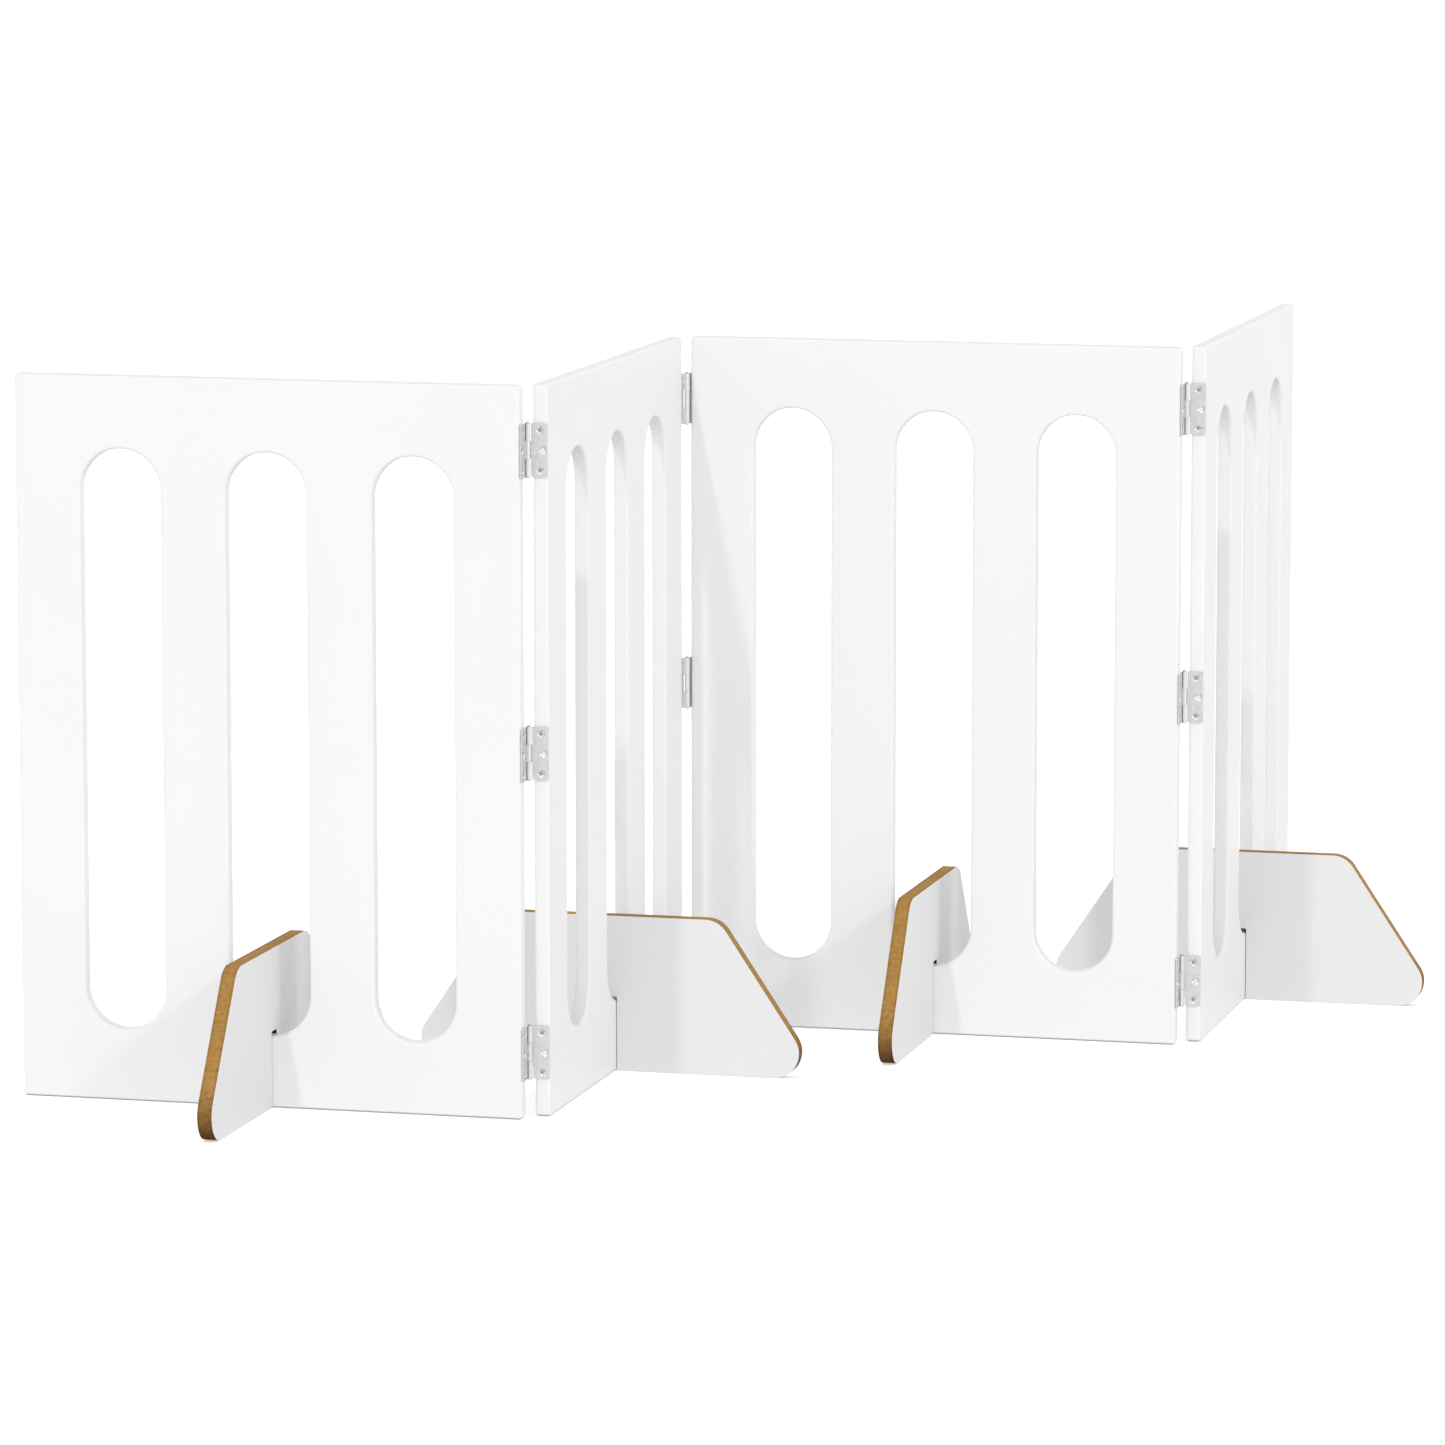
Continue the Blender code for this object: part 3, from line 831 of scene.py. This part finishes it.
@dataclass
class Hinge:
    """One butt hinge: two rolled leaves and a pin. Its own frame has the axis on Z."""

    length: float = 0.051
    gap: float = 0.0003
    axis_to_end: float = 0.0028
    thickness: float = 0.0011
    reach: float = 0.0188
    leaf_corner: float = 0.0012
    notch_corner: float = 0.0003
    knuckle: float = 0.0025
    bore: float = 0.0014
    curl_from: float = 90.0
    curl_to: float = 384.0
    curl_steps: int = 40
    pin_radius: float = 0.0011
    head_radius: float = 0.0023
    top_head: Pair = (0.0003, 0.0008)
    base_head: Pair = (0.0002, 0.0004)
    screw_across: float = 0.0115
    screw_rise: float = 0.019
    screw_sink: float = 0.00034
    spare_across: float = 0.0141
    sink_radius: float = 0.0037
    sink_share: float = 0.8
    hole_radius: float = 0.0024
    ring_steps: int = 32

    @property
    def near(self) -> float:
        """How far the leaf's open side stands from the axis."""
        return self.axis_to_end - self.gap - self.thickness

    @property
    def far(self) -> float:
        """How far the leaf's seated side stands from the axis."""
        return self.axis_to_end - self.gap

    def leaf_outline(self, outer: bool) -> Array:
        """The leaf's flat part: full depth by its own knuckles, cut back by the other's."""
        half, third, back = self.length / 2, self.length / 6, self.knuckle + self.gap
        notch, step = self.notch_corner, third + (self.gap if outer else -self.gap) / 2
        free = [(self.reach, -half, self.leaf_corner), (self.reach, half, self.leaf_corner)]
        if outer:
            upper = [(0, half, 0), (0, step, 0), (back, step, notch)]
        else:
            upper = [(back, half, notch), (back, step, notch), (0, step, 0)]
        lower = [(x, -z, radius) for x, z, radius in reversed(upper)]
        return rounded_outline(free + upper + lower, CORNER_STEPS)[0]

    def knuckle_spans(self, outer: bool) -> list[Pair]:
        """The (low, high) spans of a leaf's knuckles."""
        half, third = self.length / 2, self.length / 6
        if outer:
            return [(-half, -third - self.gap / 2), (third + self.gap / 2, half)]
        return [(-third + self.gap / 2, third - self.gap / 2)]

    def curl(self, low: float, high: float) -> Surface:
        """A rolled knuckle: the sheet's section carried round the axis.

        At angle a the section's corners stand at the bore and knuckle radii times (cos a, sin a),
        at the knuckle's two ends. It starts at a quarter turn, where the flat part ends, and
        stops just short of meeting the flat part again.

        Args:
            low: height of the knuckle's lower end.
            high: height of its upper end.

        Returns:
            The open-started tube with its tip closed.
        """
        turn = np.radians(np.linspace(self.curl_from, self.curl_to, self.curl_steps + 1))
        radii = np.array([self.bore, self.knuckle, self.knuckle, self.bore])
        heights = np.array([low, low, high, high])
        points = polar(radii, turn[:, None], heights).reshape(-1, 3)
        faces = grid_faces(len(turn), len(radii), True)
        tip = len(points) - len(radii) + np.arange(len(radii))[None]
        return Surface(points, [(faces[:, ::-1], 1), (tip[:, ::-1], 1)])

    def leaf(self, outer: bool) -> Surface:
        """One leaf with its countersunk holes and rolled knuckles.

        Args:
            outer: whether it has the two outer knuckles or the middle one.

        Returns:
            The closed surface.
        """
        flat = self.leaf_outline(outer)
        size = len(flat)
        rim = np.concatenate([lifted(flat, self.near), lifted(flat, self.far)])
        walls = grid_faces(2, size, True)[:, ::-1]
        # The walls at x = 0 are left open, since the knuckles start there.
        on_axis = np.isclose(rim[walls][:, :, 0], 0.0).all(axis=1)
        parts = [Surface(rim, [(walls[~on_axis], 0)])]
        loops = {-1.0: [(flat, 0)], 1.0: [(flat, size)]}
        start = 2 * size
        cone_foot = self.near + self.sink_share * self.thickness
        across, rise = self.screw_across, self.screw_rise
        for x, z in ((across, -rise), (across, rise), (self.spare_across, 0.0)):
            wide = circle(x, z, self.sink_radius, self.ring_steps)
            tight = circle(x, z, self.hole_radius, self.ring_steps)
            levels = ((wide, self.near), (tight, cone_foot), (tight, self.far))
            points = np.concatenate([lifted(ring, y) for ring, y in levels])
            parts.append(Surface(points, [(grid_faces(3, self.ring_steps, True), 0)]))
            loops[-1.0].append((wide, start))
            loops[1.0].append((tight, start + 2 * self.ring_steps))
            start += len(points)
        body = join(parts)
        for facing, rings in loops.items():
            body.blocks.append((flat_faces(rings, facing), 0))
        curls = [self.curl(low, high) for low, high in self.knuckle_spans(outer)]
        return welded(join([body, *curls]))

    def pin(self) -> Surface:
        """The pin, a low domed head at each end: r = R * cos t, z = end + rim + h * sin t."""
        end, head, shaft = self.length / 2 + self.gap, self.head_radius, self.pin_radius
        (top_rim, top_dome), (base_rim, base_dome) = self.top_head, self.base_head
        turn = np.linspace(math.pi / 2 - 0.05, 0, 9)
        top = np.stack([head * np.cos(turn), end + top_rim + top_dome * np.sin(turn)], axis=1)
        turn = turn[::-1]
        base = np.stack([head * np.cos(turn), -end - base_rim - base_dome * np.sin(turn)], axis=1)
        middle = np.array([(head, end), (shaft, end), (shaft, -end), (head, -end)])
        profile = np.concatenate([top, middle, base])
        points = polar(profile[:, :1], full_turn(self.ring_steps), profile[:, 1:])
        return capped(points.reshape(-1, 3), len(profile), self.ring_steps)


@dataclass
class Screw:
    """A countersunk cross-recess screw, head at +Z with its rim on z = 0."""

    head: float = 0.0029
    shank: float = 0.0014
    length: float = 0.0150
    columns: int = 48
    head_rings: int = 15
    inner_ring: float = 0.06
    dome: float = 0.00022
    cross_half: float = 0.00062
    cross_wall: float = 0.00016
    cross_reach: float = 0.0023
    cross_fade: float = 0.0010
    cross_depth: float = 0.0011
    pit_radius: float = 0.0011
    pit_fade: float = 0.0005
    pit_depth: float = 0.0013
    recess_shade_depth: float = 0.00022
    rim: float = 0.00012
    cone: float = 0.0014
    pitch: float = 0.0011
    ridge: float = 0.00028
    core_cut: float = 0.00018
    thread_from: float = 0.0006
    thread_run_in: float = 0.0008
    thread_rings: int = 52
    tip: float = 0.0022
    tip_drop: float = 0.0001
    tip_rings: int = 6

    def surface(self) -> Surface:
        """The whole screw.

        The head's top is a low dome less the recess. The recess is as deep as a cross of two
        bars lets it be: full where the smaller of |x|, |y| is under the bar's half width and
        the larger is under its length, fading over a thin wall. A pit deepens its middle. The
        shank's radius is its core plus a sharp ridge that climbs one pitch a turn.

        Returns:
            The closed surface.
        """
        turn = full_turn(self.columns)
        rings = np.linspace(self.inner_ring, 1.0, self.head_rings) * self.head
        r, a = np.meshgrid(rings, turn, indexing="ij")
        x, y = np.abs(r * np.cos(a)), np.abs(r * np.sin(a))
        across = np.clip((self.cross_half - np.minimum(x, y)) / self.cross_wall, 0, 1)
        along = np.clip((self.cross_reach - np.maximum(x, y)) / self.cross_fade, 0, 1)
        pit = np.clip((self.pit_radius - r) / self.pit_fade, 0, 1)
        recess = np.maximum(across * np.sqrt(along) * self.cross_depth, pit * self.pit_depth)
        head = polar(r, a, self.dome * (1 - (r / self.head) ** 2) - recess)
        thread = np.linspace(-self.cone, -self.length + self.tip, self.thread_rings)
        down = np.concatenate([[-self.rim], thread])
        base = np.where(down > -self.cone, self.head, self.shank)
        z, b = np.meshgrid(down, turn, indexing="ij")
        climb = (z / self.pitch - b / (2 * math.pi)) % 1.0
        ridge = np.clip(1 - np.abs(climb - 0.5) * 4, 0, 1) * self.ridge
        started = np.clip((-self.cone - self.thread_from - z) / self.thread_run_in, 0, 1)
        radius = base[:, None] - self.core_cut * started + ridge * started
        taper = np.linspace(0.85, 0.05, self.tip_rings)[:, None]
        tip = polar(self.shank * taper, turn, -self.length + self.tip * taper - self.tip_drop)
        points = np.concatenate([head, polar(radius, b, z), tip]).reshape(-1, 3)
        whole = capped(points, len(points) // self.columns, self.columns)
        depth = np.zeros(len(whole.points))
        depth[: recess.size] = recess.ravel()
        # Faces deeper than this, and the pit's floor, take the dark zinc: painted shade in the
        # recess.
        (sides, _), (top, _), (end, _) = whole.blocks
        deep = depth[sides].mean(axis=1) > self.recess_shade_depth
        whole.blocks = [(sides[~deep], 0), (sides[deep], 1), (top, 1), (end, 0)]
        return whole


def capped(points: Array, rows: int, columns: int) -> Surface:
    """Closes a stack of rings with a point at each end.

    Args:
        points: the rings' points, top ring first, each ring anticlockwise seen from above.
        rows: number of rings.
        columns: points in a ring.

    Returns:
        The closed surface.
    """
    ends = np.stack([points[:columns].mean(axis=0), points[-columns:].mean(axis=0)])
    count = len(points)
    step = np.arange(columns)
    after = (step + 1) % columns
    top = np.stack([step, after, np.full(columns, count)], axis=1)
    low = (rows - 1) * columns
    base = np.stack([low + after, low + step, np.full(columns, count + 1)], axis=1)
    sides = grid_faces(rows, columns, True)[:, ::-1]
    return Surface(np.concatenate([points, ends]), [(sides, 0), (top, 0), (base, 0)])


@dataclass
class HingeLines:
    """The three rows of three hinges."""

    hinge: Hinge = field(default_factory=Hinge)
    screw: Screw = field(default_factory=Screw)
    levels: tuple[tuple[str, float], ...] = (("top", 0.6375), ("mid", 0.3495), ("low", 0.0625))
    twist_seed: int = 7
    leaf_soft: float = 0.00012

    def places(self) -> list[tuple[str, Place, Place, bool]]:
        """Each line's name, its leaves' frames at z = 0, and whether its screws are solids too."""
        found = []
        for first in (1, 2, 3):
            low, high = (np.array(c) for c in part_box(f"h{first}{first + 1}_mid_pin"))
            x, y = ((low + high) / 2)[:2]
            forward = (1, 0) if first % 2 else (0, 1)
            other = forward[::-1]
            back = (-forward[0], -forward[1])
            away = (-other[0], -other[1])
            leaf_a = Place((x, y, 0), away, back)
            leaf_b = Place((x, y, 0), forward, other)
            found.append((f"{first}{first + 1}", leaf_a, leaf_b, first != 2))
        return found

    def seated(self, screw: Surface, place: Place, height: float, twist: float) -> Surface:
        """A screw seated in a leaf at a height, its cross turned by twist."""
        across, inward = place.axes()
        seat = self.hinge.near + self.hinge.screw_sink
        origin = np.array(place.origin) + across * self.hinge.screw_across + inward * seat
        origin = origin + np.array([0.0, 0.0, height])
        upward = np.cross(-inward, across)
        x_axis = across * math.cos(twist) + upward * math.sin(twist)
        return screw.moved(x_axis, np.cross(-inward, x_axis), -inward, origin)

    def build(self, finishes: Finishes) -> None:
        """Makes every hinge where its solids stand."""
        hinge = self.hinge
        leaves = {"a": hinge.leaf(True), "b": hinge.leaf(False)}
        pin, screw = hinge.pin(), self.screw.surface()
        leaf_finish = [finishes.zinc, finishes.knuckle]
        screw_finish = [finishes.screw, finishes.recess]
        twists = iter(np.random.default_rng(self.twist_seed).uniform(0, math.pi / 2, SCREWS))
        for line, place_a, place_b, solid_screws in self.places():
            bodies = {"a": f"board_{line[0]}", "b": f"board_{line[1]}"}
            for level, height in self.levels:
                stem = f"h{line}_{level}"
                for side, place in (("a", place_a), ("b", place_b)):
                    body = bodies[side]
                    leaf = make_piece(
                        f"{stem}_plate_{side}", place.set(leaves[side], height), leaf_finish,
                        body, (f"{stem}_leaf_{side}",), 30.0,
                    )
                    soften_edges(leaf, self.leaf_soft)
                    for number, rise in enumerate((hinge.screw_rise, -hinge.screw_rise), 1):
                        solid = (f"{stem}_screw_{side}{number}",) if solid_screws else ()
                        seated = self.seated(screw, place, height + rise, float(next(twists)))
                        make_piece(
                            f"{stem}_fixing_{side}{number}", seated, screw_finish, body,
                            solid, 50.0,
                        )
                make_piece(
                    f"{stem}_pivot", place_b.set(pin, height), [finishes.pin], bodies["a"],
                    (f"{stem}_pin",), 40.0,
                )


def soften_edges(piece: bpy.types.Object, width: float) -> None:
    """Rounds a piece's sharp edges slightly."""
    bevel = piece.modifiers.new("Soft edges", "BEVEL")
    bevel.width = width
    bevel.segments = 2
    bevel.limit_method = "ANGLE"
    bevel.angle_limit = math.radians(40)


# --- studio ---


@dataclass(frozen=True)
class Sun:
    """A distant lamp: where it stands seen from the gate, its strength and how wide it looks."""

    name: str
    towards: Triple
    strength: float
    width: float

    def build(self) -> None:
        """Makes the lamp."""
        lamp = bpy.data.lights.new(self.name, "SUN")
        lamp.energy = self.strength * math.pi
        lamp.angle = math.radians(self.width)
        sun = bpy.data.objects.new(self.name, lamp)
        sun.rotation_mode = "QUATERNION"
        sun.rotation_quaternion = Vector(self.towards).to_track_quat("Z", "Y")
        bpy.context.scene.collection.objects.link(sun)


@dataclass
class Studio:
    """A plain pale floor, soft light from all round and above, two broad lamps and the camera."""

    floor_half: float = 40.0
    floor_colour: float = 0.90
    floor_cloud: float = 0.004
    floor_drop: float = 0.0002
    floor_glow: float = 0.45
    over_band: Pair = (0.40, 0.90)
    under_band: Pair = (-0.50, -0.05)
    below: float = 0.38
    bounce: float = 0.8
    above: float = 0.27
    right: float = 1.37
    left: float = 1.30
    front: float = 0.86
    back: float = 1.19
    key: Sun = Sun("key", (-0.27, -1.0, 1.30), 0.19, 2.5)
    side: Sun = Sun("side", (1.60, -1.0, 1.20), 0.135, 6.0)
    lens: float = 184.2126
    eye: Triple = (1.76901, -7.06417, 1.37906)
    yaw: float = -14.29821
    pitch: float = 8.23640

    def build(self) -> None:
        """Makes the floor, the light and the camera."""
        self.floor()
        self.dome()
        self.key.build()
        self.side.build()
        self.camera()

    def floor(self) -> None:
        """A wide flat floor just under the gate, like seamless paper lit a little from behind."""
        side = np.linspace(-self.floor_half, self.floor_half, 3)
        x, y = np.meshgrid(side, side, indexing="xy")
        points = np.stack([x, y, np.full(x.shape, -self.floor_drop)], axis=-1).reshape(-1, 3)
        mesh = bpy.data.meshes.new("floor")
        mesh.from_pydata(points.tolist(), [], grid_faces(3, 3, False).tolist())
        material, tree, shader, where = start_material("floor_paper")
        low, high = self.floor_colour - self.floor_cloud, self.floor_colour + self.floor_cloud
        tree.fill(
            shader, Base_Color=tree.spread(tree.noise(where, 1.5, 2.0), 0.3, 0.7, low, high),
            Roughness=0.9, Specular_IOR_Level=0.0, Emission_Color=(1.0, 1.0, 1.0, 1.0),
            Emission_Strength=self.floor_glow,
        )
        mesh.materials.append(material)
        floor = bpy.data.objects.new("floor", mesh)
        bpy.context.scene.collection.objects.link(floor)
        floor.visible_diffuse = False
        floor.visible_glossy = False
        floor.visible_shadow = False

    def dome(self) -> None:
        """Light from all round, dim from below but for the floor in front, softer overhead.

        Four broad panels share the band. Each one's part is the square of its share of the
        level direction, so that the four parts always add up to one.
        """
        world = bpy.data.worlds.new("studio")
        world.use_nodes = True
        tree = NodeTree(world.node_tree)
        seen = tree.add("ShaderNodeTexCoord").outputs["Generated"]
        x, y, z = tree.add("ShaderNodeSeparateXYZ", Vector=seen).outputs
        level = tree.maths("SUBTRACT", 1.0, tree.maths("MULTIPLY", z, z))
        level = tree.maths("MAXIMUM", level, 1e-5)
        shares = [tree.maths("DIVIDE", tree.maths("MULTIPLY", a, a), level) for a in (x, y)]
        sides = [tree.maths("GREATER_THAN", a, 0.0) for a in (x, y)]
        panels = ((self.right, self.left), (self.back, self.front))
        total: object = 0.0
        for share, side, (ahead, behind) in zip(shares, sides, panels):
            strength = tree.maths("ADD", behind, tree.maths("MULTIPLY", side, ahead - behind))
            total = tree.maths("ADD", total, tree.maths("MULTIPLY", share, strength))
        band = tree.between(tree.spread(z, *self.over_band, 0.0, 1.0), total, self.above)
        forward = tree.maths("MULTIPLY", shares[1], tree.maths("SUBTRACT", 1.0, sides[1]))
        low = tree.maths("ADD", self.below, tree.maths("MULTIPLY", forward, self.bounce))
        light = tree.between(tree.spread(z, *self.under_band, 1.0, 0.0), band, low)
        background = world.node_tree.nodes["Background"]
        tree.fill(background, Color=(1.0, 1.0, 1.0, 1.0), Strength=light)
        bpy.context.scene.world = world

    def camera(self) -> None:
        """The camera at its place: yaw is measured from +Y, pitch down from level."""
        lens = bpy.data.cameras.new("camera")
        lens.lens = self.lens
        lens.sensor_width = 36.0
        lens.clip_start, lens.clip_end = 0.1, 200.0
        yaw, pitch = math.radians(self.yaw), math.radians(self.pitch)
        level = math.cos(pitch)
        ahead = Vector((math.sin(yaw) * level, math.cos(yaw) * level, -math.sin(pitch)))
        camera = bpy.data.objects.new("camera", lens)
        camera.location = self.eye
        camera.rotation_mode = "QUATERNION"
        camera.rotation_quaternion = ahead.to_track_quat("-Z", "Y")
        bpy.context.scene.collection.objects.link(camera)
        bpy.context.scene.camera = camera
        bpy.context.scene.view_settings.view_transform = "Standard"


def main() -> None:
    """Builds the studio, the boards, the feet and the hinges."""
    finishes = Finishes()
    Studio().build()
    BoardSet().build(finishes)
    FootSet().build(finishes)
    HingeLines().build(finishes)


if __name__ == "__main__":
    main()
